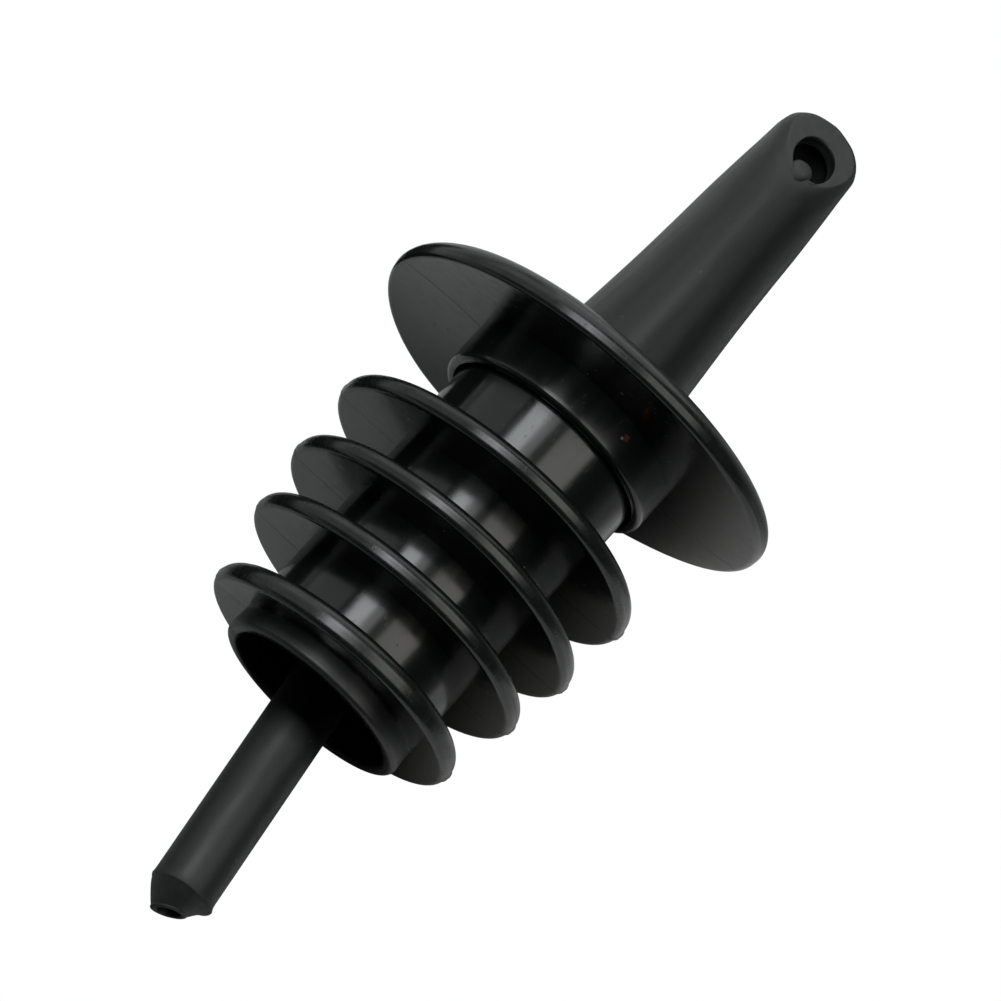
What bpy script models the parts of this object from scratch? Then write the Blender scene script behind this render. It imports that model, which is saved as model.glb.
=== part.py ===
"""Free-flow liquor pour spout: oval nozzle with collar, finned bottle stopper and breather tube.

Metres, +Z up along the stopper's axis, nozzle upwards. The origin is on that axis in the plane of
the collar's underside, which is where the spout sits on a bottle's lip. The nozzle's cut faces -Y.
"""

import math

import bmesh
import bpy
from mathutils import Vector

MM = 0.001
GAP = 0.3 * MM                      # running gap between neighbouring pieces

# Collar and skirt (lengths below the collar's underside are negative)
COLLAR_RADIUS = 19.0 * MM
COLLAR_THICKNESS = 2.1 * MM
COLLAR_TOP_ROUND = 1.5 * MM         # the collar is domed towards its rim
COLLAR_LOW_ROUND = 0.5 * MM
SKIRT_RADIUS = 10.3 * MM
SKIRT_LENGTH = 3.3 * MM
SKIRT_FILLET = 0.8 * MM
SKIRT_LIP_ROUND = 0.45 * MM

# Stopper
NECK_RADIUS = 9.1 * MM
NECK_TOP = 0.9 * MM
SNAP_RADIUS = 9.6 * MM              # rim at the neck's top that keeps the spout on
SNAP_BOTTOM = 0.1 * MM
SNAP_CHAMFER = 0.25 * MM
CORE_RADIUS = 8.75 * MM
BORE_RADIUS = 7.5 * MM
RIM_BOTTOM = -33.1 * MM
RIM_RADIUS = 8.65 * MM
RIM_ROUND = 0.35 * MM
FIN_THICKNESS = 1.5 * MM
FIN_TOP_ROUND = 0.85 * MM
FIN_LOW_ROUND = 0.5 * MM
FIN_RADII = [15.1 * MM, 14.6 * MM, 13.7 * MM, 12.35 * MM]
FIN_TOPS = [-10.6 * MM, -16.95 * MM, -22.6 * MM, -29.15 * MM]

# Breather tube and the ring that holds it
TUBE_RADIUS = 2.75 * MM
TUBE_BORE = 1.75 * MM
TUBE_LENGTH = 42.0 * MM
TUBE_CONE_LENGTH = 1.9 * MM
TUBE_END_RADIUS = 1.6 * MM
TUBE_ORIFICE = 1.1 * MM
TUBE_LIP = 0.8 * MM                 # length of the narrow orifice
TUBE_BORE_RISE = 0.3 * MM           # the full bore starts this far above the cone's shoulder
TUBE_TIP = Vector((3.0 * MM, -2.4 * MM, -54.0 * MM))
TUBE_LEAN = Vector((0.135, -0.09, -1.0))     # direction from the ring to the tip
HOLDER_WALL = 1.1 * MM
HOLDER_LENGTH = 6.0 * MM
RIB_THICKNESS = 2.4 * MM
RIB_MARGIN = 0.8 * MM               # the rib is this much shorter than the ring at both ends

# Nozzle
NOZZLE_TIP = 35.4 * MM
NOZZLE_TIP_OFFSET = 0.4 * MM        # the tip's edge lies this far behind the axis
CUT_ANGLE = math.radians(36.5)      # between the cut face and the axis
TIP_FACE_RADIUS = 4.0 * MM          # round end of the cut face, seen along its slope
MOUTH_RADIUS = 1.9 * MM
MOUTH_OFFSET = 3.6 * MM
DUCT_RADIUS = 0.85 * MM
DUCT_BORE = 0.4 * MM
DUCT_OFFSET = 5.1 * MM
DUCT_TOP = 27.3 * MM
DUCT_FOOT = 1.6 * MM
DUCT_RIB_HALF = 0.4 * MM
DUCT_RIB_REACH = 2.3 * MM          # from the duct's axis into the nozzle's front wall
DUCT_RIB_TOP = 15.0 * MM
SECTION_POWER = 2.15                # 2 is an ellipse, more is squarer
ELLIPSE_POWER = 2.0
CUT_SIZE = 40.0 * MM                # half size of the block that cuts the nozzle's face
CLOSING_SWEEP = math.radians(87)    # the tip's round end stops just short of a quarter turn
SMALLEST_STEP = 0.2                 # least height between two rings of the nozzle, in mm

# Height, front reach, back reach and half width of the nozzle, in millimetres
NOZZLE_STATIONS = [
    (1.6, 10.0, 10.4, 6.2),
    (8.0, 9.2, 9.7, 5.65),
    (14.0, 8.4, 8.8, 5.15),
    (19.0, 7.6, 7.75, 4.85),
    (23.0, 7.0, 6.5, 4.65),
    (26.5, 6.55, 4.85, 4.45),
    (29.5, 6.25, 3.3, 4.25),
    (32.0, 6.0, 2.0, 4.1),
    (35.4, 5.7, 0.25, 3.9),
]
# Height, centre offset to the front, front-to-back half length and half width of the passage, in mm
PASSAGE_STATIONS = [
    (0.9, 0.0, 7.2, 4.9),
    (7.0, 0.0, 6.9, 4.4),
    (12.5, 0.3, 6.2, 3.9),
    (17.0, 1.2, 4.8, 3.3),
    (21.0, 2.4, 3.2, 2.6),
    (24.5, MOUTH_OFFSET / MM, MOUTH_RADIUS / MM, MOUTH_RADIUS / MM),
    (36.0, MOUTH_OFFSET / MM, MOUTH_RADIUS / MM, MOUTH_RADIUS / MM),
]

# Heights of the rings that the two lofts are built from, in mm
NOZZLE_HEIGHTS = [1.6, 4.5, 8.0, 11.0, 14.0, 16.5, 19.0, 21.0, 23.0, 24.8, 26.5, 28.0, 29.5, 31.0, 32.0]
PASSAGE_HEIGHTS = [0.9, 4.0, 7.0, 10.0, 12.5, 15.0, 17.0, 19.0, 21.0, 23.0, 24.5, 36.0]

ROUND_STEPS = 48                    # segments round the big turned shapes
SECTION_POINTS = 36
PASSAGE_POINTS = 24
TUBE_STEPS = 24
DUCT_STEPS = 12
DUCT_BORE_STEPS = 8
TIP_STEPS = 6                       # rings that close the nozzle's tip
EDGE_STEPS = 3                      # segments of a fin's rounded corner
COLLAR_STEPS = 4                    # segments of the collar's rounded corners


def clear_scene():
    for item in list(bpy.data.objects):
        bpy.data.objects.remove(item, do_unlink=True)


def new_collection(name):
    group = bpy.data.collections.new(name)
    bpy.context.scene.collection.children.link(group)
    return group


def plastic(name, colour, roughness):
    material = bpy.data.materials.new(name)
    material.use_nodes = True
    shader = material.node_tree.nodes["Principled BSDF"]
    shader.inputs["Base Color"].default_value = (*colour, 1.0)
    shader.inputs["Roughness"].default_value = roughness
    shader.inputs["Metallic"].default_value = 0.0
    return material


def link_object(name, mesh, group, material=None):
    item = bpy.data.objects.new(name, mesh)
    group.objects.link(item)
    if material:
        mesh.materials.append(material)
    return item


def corner_arc(centre_r, centre_z, radius, start, end, steps):
    """Points of an arc in the profile plane; angles in degrees from +X towards +Z."""
    points = []
    for step in range(steps + 1):
        angle = math.radians(start + (end - start) * step / steps)
        points.append((centre_r + radius * math.cos(angle), centre_z + radius * math.sin(angle)))
    return points


def round_edge(radius, top, thickness, top_round, low_round, steps):
    """The outer edge of a disc from top to bottom, rounded at both corners."""
    bottom = top - thickness
    upper = corner_arc(radius - top_round, top - top_round, top_round, 90, 0, steps)
    lower = corner_arc(radius - low_round, bottom + low_round, low_round, 0, -90, steps)
    return upper + lower


def turned(name, profile, steps, group, material, closed=True):
    """Turn a profile of (radius, height) points about Z with a Screw modifier."""
    mesh = bpy.data.meshes.new(name)
    points = [(radius, 0.0, height) for radius, height in profile]
    edges = [(i, i + 1) for i in range(len(points) - 1)]
    if closed:
        edges.append((len(points) - 1, 0))
    mesh.from_pydata(points, edges, [])
    item = link_object(name, mesh, group, material)
    screw = item.modifiers.new("Turn", "SCREW")
    screw.axis = "Z"
    screw.angle = math.tau
    screw.steps = steps
    screw.render_steps = steps
    screw.use_merge_vertices = True
    screw.merge_threshold = 0.000001
    screw.use_smooth_shade = True
    return item


def spline_at(stations, height):
    """Values at a height, read from a smooth curve through the stations (Catmull-Rom)."""
    last = len(stations) - 2
    index = 0
    while index < last and height > stations[index + 1][0]:
        index += 1
    before = stations[max(index - 1, 0)]
    here = stations[index]
    after = stations[index + 1]
    beyond = stations[min(index + 2, len(stations) - 1)]
    span = after[0] - here[0]
    t = (height - here[0]) / span
    values = []
    for k in range(1, len(here)):
        slope_here = (after[k] - before[k]) / (after[0] - before[0]) * span
        slope_after = (beyond[k] - here[k]) / (beyond[0] - here[0]) * span
        values.append(
            (2 * t**3 - 3 * t**2 + 1) * here[k]
            + (t**3 - 2 * t**2 + t) * slope_here
            + (3 * t**2 - 2 * t**3) * after[k]
            + (t**3 - t**2) * slope_after
        )
    return values


def oval(height, front, back, half_width, power, count):
    """A ring of points: half an oval towards -Y, the other half towards +Y."""
    ring = []
    for step in range(count):
        angle = math.tau * step / count
        cosine = math.cos(angle)
        sine = math.sin(angle)
        x = half_width * math.copysign(abs(cosine) ** (2 / power), cosine)
        reach = back if sine > 0 else front
        y = reach * math.copysign(abs(sine) ** (2 / power), sine)
        ring.append((x, y, height))
    return ring


def loft(name, rings, group, material=None):
    """A closed solid through rings of equal point count, capped at both ends."""
    mesh = bpy.data.meshes.new(name)
    count = len(rings[0])
    points = [point for ring in rings for point in ring]
    faces = []
    for level in range(len(rings) - 1):
        for step in range(count):
            nearby = (step + 1) % count
            low = level * count
            high = low + count
            faces.append((low + step, low + nearby, high + nearby, high + step))
    faces.append(tuple(reversed(range(count))))
    top = (len(rings) - 1) * count
    faces.append(tuple(range(top, top + count)))
    mesh.from_pydata(points, [], faces)
    mesh.shade_smooth()
    return link_object(name, mesh, group, material)


def box(name, low, high, group):
    mesh = bpy.data.meshes.new(name)
    work = bmesh.new()
    bmesh.ops.create_cube(work, size=1.0)
    for vertex in work.verts:
        for axis in range(3):
            vertex.co[axis] = low[axis] if vertex.co[axis] < 0 else high[axis]
    work.to_mesh(mesh)
    work.free()
    return link_object(name, mesh, group)


def cylinder(name, radius, low, high, steps, group):
    """An upright cylinder between two heights."""
    mesh = bpy.data.meshes.new(name)
    work = bmesh.new()
    bmesh.ops.create_cone(
        work, cap_ends=True, segments=steps, radius1=radius, radius2=radius, depth=high - low
    )
    bmesh.ops.translate(work, verts=work.verts, vec=(0.0, 0.0, (low + high) / 2))
    work.to_mesh(mesh)
    work.free()
    mesh.shade_smooth()
    return link_object(name, mesh, group)


def combine(item, other, operation):
    boolean = item.modifiers.new(operation.title() + " " + other.name, "BOOLEAN")
    boolean.operation = operation
    boolean.object = other
    boolean.solver = "EXACT"


def hide_tools(group):
    for tool in group.objects:
        tool.hide_render = True
        tool.display_type = "WIRE"


def collar_profile():
    """Collar, skirt and the socket for the stopper's neck, as one closed outline from the axis."""
    socket_radius = NECK_RADIUS + GAP
    groove_radius = SNAP_RADIUS + GAP
    groove_bottom = SNAP_BOTTOM - GAP
    socket_top = NECK_TOP + GAP
    fillet_centre = SKIRT_RADIUS + SKIRT_FILLET
    lip_outer = SKIRT_RADIUS - SKIRT_LIP_ROUND
    lip_bottom = -SKIRT_LENGTH + SKIRT_LIP_ROUND
    thickness = COLLAR_THICKNESS
    profile = [(0.0, thickness)]
    rounds = (COLLAR_TOP_ROUND, COLLAR_LOW_ROUND)
    profile += round_edge(COLLAR_RADIUS, thickness, thickness, *rounds, COLLAR_STEPS)
    profile += corner_arc(fillet_centre, -SKIRT_FILLET, SKIRT_FILLET, 90, 180, COLLAR_STEPS)
    profile += corner_arc(lip_outer, lip_bottom, SKIRT_LIP_ROUND, 0, -90, COLLAR_STEPS)
    profile += [
        (socket_radius, -SKIRT_LENGTH),
        (socket_radius, groove_bottom),
        (groove_radius, groove_bottom),
        (groove_radius, socket_top),
        (0.0, socket_top),
    ]
    return profile


def nozzle_rings():
    """Rings up the nozzle; its width closes in a round end at the tip."""
    heights = list(NOZZLE_HEIGHTS)
    round_start = (NOZZLE_TIP - TIP_FACE_RADIUS) / MM
    for step in range(1, TIP_STEPS + 1):
        rise = math.sin(CLOSING_SWEEP * step / TIP_STEPS)
        height = round_start + TIP_FACE_RADIUS / MM * rise
        if height > heights[-1] + SMALLEST_STEP:
            heights.append(height)
    rings = []
    for height in heights:
        front, back, half_width = spline_at(NOZZLE_STATIONS, height)
        rise = (height - round_start) * MM / TIP_FACE_RADIUS
        if rise > 0:
            half_width *= math.sqrt(1 - rise * rise)
        values = [value * MM for value in (height, front, back, half_width)]
        rings.append(oval(*values, SECTION_POWER, SECTION_POINTS))
    return rings


def passage_rings():
    rings = []
    for height in PASSAGE_HEIGHTS:
        offset, half_length, half_width = spline_at(PASSAGE_STATIONS, height)
        values = [value * MM for value in (height, half_length, half_length, half_width)]
        ring = oval(*values, ELLIPSE_POWER, PASSAGE_POINTS)
        rings.append([(x, y - offset * MM, z) for x, y, z in ring])
    return rings


def build_spout(parts, tools, material):
    spout = turned("spout_body", collar_profile(), ROUND_STEPS, parts, material, closed=False)

    nozzle = loft("nozzle_form", nozzle_rings(), tools)
    combine(spout, nozzle, "UNION")

    cut_low = (-CUT_SIZE, -CUT_SIZE, -CUT_SIZE)
    cut_high = (CUT_SIZE, 0.0, CUT_SIZE)
    cut = box("oblique_cut", cut_low, cut_high, tools)
    cut.location = (0.0, NOZZLE_TIP_OFFSET, NOZZLE_TIP)
    cut.rotation_euler = (-CUT_ANGLE, 0.0, 0.0)
    combine(spout, cut, "DIFFERENCE")

    passage = loft("liquid_passage", passage_rings(), tools)
    combine(spout, passage, "DIFFERENCE")

    duct = cylinder("duct_form", DUCT_RADIUS, DUCT_FOOT, DUCT_TOP, DUCT_STEPS, tools)
    duct.location.y = -DUCT_OFFSET
    combine(spout, duct, "UNION")
    rib_low = (-DUCT_RIB_HALF, -DUCT_OFFSET - DUCT_RIB_REACH, DUCT_FOOT)
    rib_high = (DUCT_RIB_HALF, -DUCT_OFFSET, DUCT_RIB_TOP)
    rib = box("duct_rib", rib_low, rib_high, tools)
    combine(spout, rib, "UNION")
    air = cylinder("duct_bore", DUCT_BORE, 0.0, NOZZLE_TIP, DUCT_BORE_STEPS, tools)
    air.location.y = -DUCT_OFFSET
    combine(spout, air, "DIFFERENCE")
    return spout


def stopper_profile():
    """Neck with its snap rim, core with the fins, and the bore, as one closed outline."""
    profile = [
        (BORE_RADIUS, NECK_TOP),
        (SNAP_RADIUS - SNAP_CHAMFER, NECK_TOP),
        (SNAP_RADIUS, NECK_TOP - SNAP_CHAMFER),
        (SNAP_RADIUS, SNAP_BOTTOM),
        (NECK_RADIUS, SNAP_BOTTOM),
    ]
    rounds = (FIN_TOP_ROUND, FIN_LOW_ROUND)
    above = NECK_RADIUS
    for radius, top in zip(FIN_RADII, FIN_TOPS):
        profile.append((above, top))
        profile += round_edge(radius, top, FIN_THICKNESS, *rounds, EDGE_STEPS)
        profile.append((CORE_RADIUS, top - FIN_THICKNESS))
        above = CORE_RADIUS
    profile.append((RIM_RADIUS, RIM_BOTTOM + RIM_ROUND))
    profile.append((RIM_RADIUS - RIM_ROUND, RIM_BOTTOM))
    profile.append((BORE_RADIUS + RIM_ROUND, RIM_BOTTOM))
    profile.append((BORE_RADIUS, RIM_BOTTOM + RIM_ROUND))
    return profile


def tube_frame():
    """Place and rotation of the tube: its own origin is its top end, and its -Z points to the tip."""
    direction = TUBE_LEAN.normalized()
    top = TUBE_TIP - direction * TUBE_LENGTH
    rotation = (-direction).to_track_quat("Z", "Y").to_euler()
    return top, rotation


def build_stopper(parts, tools, material):
    stopper = turned("finned_stopper", stopper_profile(), ROUND_STEPS, parts, material)
    top, rotation = tube_frame()
    ring_inner = TUBE_RADIUS + GAP
    ring_outer = ring_inner + HOLDER_WALL

    ring = cylinder("holder_ring", ring_outer, -HOLDER_LENGTH, 0.0, TUBE_STEPS, tools)
    ring.location = top
    ring.rotation_euler = rotation
    combine(stopper, ring, "UNION")

    # The ring stands off the axis; one rib joins it to the near side of the bore
    reach = (BORE_RADIUS + CORE_RADIUS) / 2
    rib_low = (0.0, -RIB_THICKNESS / 2, top.z - HOLDER_LENGTH + RIB_MARGIN)
    rib_high = (reach, RIB_THICKNESS / 2, top.z - RIB_MARGIN)
    rib = box("holder_rib", rib_low, rib_high, tools)
    rib.rotation_euler.z = math.atan2(top.y, top.x)
    combine(stopper, rib, "UNION")

    beyond = HOLDER_LENGTH / 3
    low = -HOLDER_LENGTH - beyond
    socket = cylinder("tube_socket", ring_inner, low, beyond, TUBE_STEPS, tools)
    socket.location = top
    socket.rotation_euler = rotation
    combine(stopper, socket, "DIFFERENCE")
    return stopper


def build_tube(parts, material):
    shoulder = -TUBE_LENGTH + TUBE_CONE_LENGTH
    profile = [
        (TUBE_BORE, 0.0),
        (TUBE_RADIUS, 0.0),
        (TUBE_RADIUS, shoulder),
        (TUBE_END_RADIUS, -TUBE_LENGTH),
        (TUBE_ORIFICE, -TUBE_LENGTH),
        (TUBE_ORIFICE, -TUBE_LENGTH + TUBE_LIP),
        (TUBE_BORE, shoulder + TUBE_BORE_RISE),
    ]
    tube = turned("breather_tube", profile, TUBE_STEPS, parts, material)
    tube.location, tube.rotation_euler = tube_frame()
    return tube


def main():
    clear_scene()
    parts = new_collection("liquor_pour_spout")
    tools = new_collection("cutters")
    spout_plastic = plastic("spout_plastic", (0.030, 0.034, 0.034), 0.42)
    stopper_plastic = plastic("stopper_plastic", (0.020, 0.023, 0.023), 0.24)
    tube_plastic = plastic("tube_plastic", (0.032, 0.035, 0.035), 0.45)
    build_stopper(parts, tools, stopper_plastic)
    build_spout(parts, tools, spout_plastic)
    build_tube(parts, tube_plastic)
    hide_tools(tools)


main()
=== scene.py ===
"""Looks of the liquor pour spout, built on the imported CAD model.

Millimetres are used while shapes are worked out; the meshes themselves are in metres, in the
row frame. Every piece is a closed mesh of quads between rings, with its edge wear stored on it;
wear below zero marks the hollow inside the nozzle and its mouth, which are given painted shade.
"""

import math

import bpy
import numpy as np
from mathutils import Matrix, Vector


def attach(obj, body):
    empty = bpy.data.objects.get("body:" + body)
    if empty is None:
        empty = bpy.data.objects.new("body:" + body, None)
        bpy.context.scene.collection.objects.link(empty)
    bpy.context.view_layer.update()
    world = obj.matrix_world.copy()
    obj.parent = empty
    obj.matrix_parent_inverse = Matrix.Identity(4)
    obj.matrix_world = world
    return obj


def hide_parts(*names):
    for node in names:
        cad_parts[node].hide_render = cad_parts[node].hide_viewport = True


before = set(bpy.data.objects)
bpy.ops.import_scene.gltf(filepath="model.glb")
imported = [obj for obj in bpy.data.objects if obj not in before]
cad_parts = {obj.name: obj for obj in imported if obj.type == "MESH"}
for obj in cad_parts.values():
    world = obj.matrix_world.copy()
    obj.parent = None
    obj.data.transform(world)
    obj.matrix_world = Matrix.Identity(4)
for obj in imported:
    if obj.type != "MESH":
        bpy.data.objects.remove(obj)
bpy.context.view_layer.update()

MM = 0.001
COLUMNS = 192

# ------------------------------------------------------------------ dimensions, mm
# collar and skirt of the spout
COLLAR_R, COLLAR_TOP, COLLAR_LOW = 19.0, 2.1, -0.5
COLLAR_DOME, COLLAR_DOME_WIDE = 1.8, 1.6  # the top edge's rounding: its height, and width to height
COLLAR_LOW_ROUND = 0.5
COLLAR_WAVE, COLLAR_TILT, COLLAR_FRONT_DROP = 0.06, 0.9, 0.28
COLLAR_TILT_BACK, COLLAR_TILT_REAR = 0.45, 1.0  # how much more it tilts towards the back
COLLAR_GROW = 0.022  # share by which its right side is wider
SKIRT_R, SKIRT_LOW, LIP_ROUND = 10.3, -4.0, 0.45
SOCKET_R, SOCKET_ROUND, SOCKET_TOP = 9.4, 0.15, 1.2
GROOVE_R, GROOVE_LOW = 9.9, -0.2
EDGE_LEAN = 0.05  # how far the lower edge of the collar and the fins lies inside the upper one

# nozzle: height, then its reach to the front and the back and its half width
NOZZLE = np.array([
    (1.6, 10.0, 10.4, 6.2), (8.0, 9.2, 9.7, 5.65), (14.0, 8.4, 8.8, 5.15),
    (19.0, 7.6, 7.75, 4.85), (23.0, 7.0, 6.5, 4.65), (26.5, 6.55, 4.85, 4.4),
    (29.5, 6.25, 3.3, 4.15), (32.0, 6.0, 2.0, 4.0), (35.4, 5.7, 0.25, 3.85)])
NOZZLE_SHIFT, NOZZLE_TURN = 0.35, math.radians(5.0)
NOZZLE_BLEND, NOZZLE_BLEND_BELOW = 2.0, 0.5  # the turn sets in over this height, from below the top
NOZZLE_FOOT = 0.9  # fillet between nozzle and collar
TIP_R = 4.3
CUT_ANGLE = math.radians(36.5)
CUT_Y, CUT_Z = 0.4, 35.05
# rounded border of the cut, down the wall and across the face: its width at the sides, what is
# added at the front, and what is added at the back
BORDER_DOWN, BORDER_ACROSS = (1.5, 1.9, -0.2), (1.15, 0.25, -0.25)
WALL, FACE_WALL = 1.35, 1.1
MOUTH_R, MOUTH_Y = 1.95, -3.85
MOUTH_ROUND, MOUTH_ROUND_DEEP = 0.22, 0.3
CEILING_ROUND, CEILING_ROUND_IN, HOLLOW_ROUND = 0.15, 0.25, 0.3

# air duct's end in the mouth
DUCT_X, DUCT_Y, DUCT_R, DUCT_FOOT = 0.1, -5.12, 1.15, 1.5
DUCT_SHOULDER, DUCT_DOME, DUCT_DOME_POWER = 0.75, 0.9, 0.55
DUCT_SLOPE, DUCT_SLOPE_OVER = 0.75, 3.0  # share of the cut's slope, and the height it fades over

# stopper
NECK_R, CORE_R, BORE_R = 9.1, 8.75, 7.6
PLUG_TOP, PLUG_ROUND, BEAD_PROUD, BEAD_LOW = 0.9, 0.2, 0.5, 0.1
FIN_R = [15.1, 14.6, 13.7, 12.35]
FIN_TOP = [-10.5, -16.95, -22.6, -29.1]
FIN_T, FIN_TOP_ROUND, FIN_LOW_ROUND, ROOT_FILLET = 1.85, 1.0, 0.55, 0.3
FIN_LIFT = [0.45, 0.35, 0.3, 0.55]  # the fins are pushed up a little at the front right
FIN_LIFT_AT = math.radians(-50)
FIN_DROOP = [0.0, 0.0, 0.05, 0.5]  # and their lower edges hang down at the front
FIN_BEND_POWER, FIN_DROOP_POWER = 1.6, 0.7
FIN_WAVE, FIN_RIPPLE = 0.07, 0.0035  # unevenness of height, and of radius as a share
NIB_HALF, NIB_RIGHT, NIB_LEFT = 0.025, 0.010, 0.005  # mould nibs: half angle, then shares of radius
RIM_LOW, RIM_R, RIM_ROUND, BORE_ROUND = -33.1, 8.85, 0.5, 0.4
RIM_FLARE = [(0.0, 1.9), (0.02, 1.5), (0.06, 1.1)]  # standing out, above the rim's lower end
CREASE = 1e-6  # wear that marks a ring of a profile as a sharp inner corner

# tube and the holder that grips it
TUBE_R, TUBE_BORE, TUBE_LEN, TUBE_CONE = 2.75, 1.75, 42.0, 1.9
TUBE_TIP = np.array([3.0, -2.4, -54.0])
TUBE_LEAN = np.array([0.135, -0.09, -1.0])
TUBE_ROUND, TUBE_BORE_ROUND = 0.2, 0.15
# the shoulder above the cone: standing out, above its height, wear
SHOULDER = [(0.0, 0.9, 0.0), (0.01, 0.5, 0.1), (0.03, 0.22, 0.5),
            (0.05, 0.08, 0.9), (0.02, -0.02, 1.0), (-0.1, -0.12, 0.8)]
CONE_END_R, CONE_END_ROUND, CONE_HOLE_R, CONE_HOLE_ROUND = 1.46, 0.14, 1.04, 0.1
CONE_SLOPE = 0.30  # the cone's end is cut a little askew
# flash on the shoulder: half its height, how far it and its lump stand out, its wave up and down
FLASH_HALF, FLASH, FLASH_LUMP, FLASH_WAVE = 0.28, 0.06, 0.10, 0.09
HOLDER_GAP, HOLDER_WALL, HOLDER_LEN = 0.3, 1.1, 6.0
HOLDER_ROUND, HOLDER_ROUND_IN = 0.3, 0.2
RIB_FROM, RIB_TO, RIB_INSET = 3.4, 8.0, 0.8
RIB_HALF, RIB_FLARE = 1.2, 0.35

# stage
TABLE_Y, TABLE_LEAN, TABLE_HALF, TABLE_SIDE = 20.5, math.radians(12.0), 260.0, 300.0
FLAG_X, FLAG_FRONT, FLAG_BACK, FLAG_LOW, FLAG_TOP = -26.0, -2.0, 20.0, -50.0, 12.0
HOOD_R, HOOD_TOP, HOOD_LOW, HOOD_COLUMNS = 7.3, -33.0, -35.7, 64


# ------------------------------------------------------------------ mesh helpers
def spline(stations, height):
    """Catmull-Rom values at a height or an array of heights, one item per value."""
    z = stations[:, 0]
    last = len(z) - 2
    h = np.asarray(height, float)
    i = np.clip(np.searchsorted(z, h, side="right") - 1, 0, last)
    before, beyond = np.maximum(i - 1, 0), np.minimum(i + 2, last + 1)
    span = z[i + 1] - z[i]
    t = (h - z[i]) / span
    out = []
    for k in range(1, stations.shape[1]):
        v = stations[:, k]
        slope_a = (v[i + 1] - v[before]) / (z[i + 1] - z[before]) * span
        slope_b = (v[beyond] - v[i]) / (z[beyond] - z[i]) * span
        out.append((2 * t**3 - 3 * t**2 + 1) * v[i] + (t**3 - 2 * t**2 + t) * slope_a
                   + (3 * t**2 - 2 * t**3) * v[i + 1] + (t**3 - t**2) * slope_b)
    return out


def conic(start, corner, end, rows, weight=0.75):
    """Rows of points that round a corner, from start to end."""
    t = np.linspace(0, 1, rows)[:, None, None]
    a, b, c = (1 - t) ** 2, 2 * t * (1 - t) * weight, t**2
    return (a * start + b * corner + c * end) / (a + b + c)


def between(start, end, rows):
    """Rows between two rings, without the two themselves."""
    t = np.linspace(0, 1, rows + 2)[1:-1][:, None, None]
    return start + (end - start) * t


def towards(start, end, distance):
    """The points that distance away from start on the way to end."""
    way = end - start
    size = np.linalg.norm(way, axis=-1, keepdims=True)
    return start + way / np.maximum(size, 1e-9) * np.asarray(distance)[..., None]


def noise1(x, seed, terms=5):
    """A smooth repeatable wave of about unit size round a circle."""
    rng = np.random.default_rng(seed)
    total = np.zeros_like(np.asarray(x, float))
    for k in range(1, terms + 1):
        total += rng.normal() / k * np.cos(k * x + rng.uniform(0, math.tau))
    return total


def polar(rings):
    """Radius and turn about Z of every point."""
    return np.hypot(rings[..., 0], rings[..., 1]), np.arctan2(rings[..., 1], rings[..., 0])


def add_object(name, data):
    """A new object in the scene for a mesh, light or camera."""
    item = bpy.data.objects.new(name, data)
    bpy.context.scene.collection.objects.link(item)
    return item


def grid_mesh(name, rings, wear, wrap=False, caps=False, material=None):
    """A mesh of quads between rings (rows, columns, 3) in mm, turned so that it faces outwards."""
    rings = np.asarray(rings, float)
    rows, cols = rings.shape[:2]
    index = np.arange(rows * cols).reshape(rows, cols)
    upper = np.roll(index, -1, axis=0) if wrap else index[1:]
    lower = index if wrap else index[:-1]
    faces = np.stack([lower, np.roll(lower, -1, axis=1), np.roll(upper, -1, axis=1), upper], axis=-1)
    faces = faces.reshape(-1, 4)
    p = rings.reshape(-1, 3)
    a, b, c, d = (p[faces[:, k]] for k in range(4))
    volume = (np.einsum("ij,ij->i", a, np.cross(b, c)) + np.einsum("ij,ij->i", a, np.cross(c, d))).sum()
    polys = faces.tolist()
    if caps:
        polys.append(list(reversed(index[0].tolist())))
        polys.append(index[-1].tolist())
    if volume < 0:
        polys = [list(reversed(f)) for f in polys]
    mesh = bpy.data.meshes.new(name)
    mesh.from_pydata((p * MM).tolist(), [], polys)
    mesh.shade_smooth()
    wear = np.asarray(wear, float)
    attribute = mesh.attributes.new("wear", "FLOAT", "POINT")
    values = np.broadcast_to(wear[:, None], (rows, cols)).ravel()
    attribute.data.foreach_set("value", values.astype(np.float32))
    ends = np.empty(2 * len(mesh.edges), np.int32)
    mesh.edges.foreach_get("vertices", ends)
    row = ends.reshape(-1, 2) // cols
    sharp = mesh.attributes.new("sharp_edge", "BOOLEAN", "EDGE")
    sharp.data.foreach_set("value", (row[:, 0] == row[:, 1]) & (wear == CREASE)[row[:, 0]])
    mesh.validate()
    if material:
        mesh.materials.append(material)
    return add_object(name, mesh)


class RingStack:
    """The rings of one piece in order, each with its wear."""

    def __init__(self):
        self.rings = []
        self.wear = []

    def put(self, block, wear=0.0):
        """Add a ring or a block of rings, with one wear or a wear for each ring."""
        block = np.asarray(block)
        if block.ndim == 2:
            block = block[None]
        self.rings.extend(block)
        self.wear.extend(np.broadcast_to(wear, (len(block),)))


angle = math.tau * np.arange(COLUMNS) / COLUMNS
COS, SIN = np.cos(angle), np.sin(angle)


def circle(radius, height, skip=1):
    """A level ring in mm; skip leaves out columns."""
    return np.stack([radius * COS, radius * SIN, np.full(COLUMNS, 1.0) * height], axis=-1)[::skip]


def oval(front, back, half, height, power=2.15):
    """A ring that reaches front towards -Y, back towards +Y and half to each side."""
    x = half * np.sign(COS) * np.abs(COS) ** (2 / power)
    reach = np.where(SIN > 0, back, front)
    y = reach * np.sign(SIN) * np.abs(SIN) ** (2 / power)
    return np.stack([x, y, np.broadcast_to(height, x.shape)], axis=-1)


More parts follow.
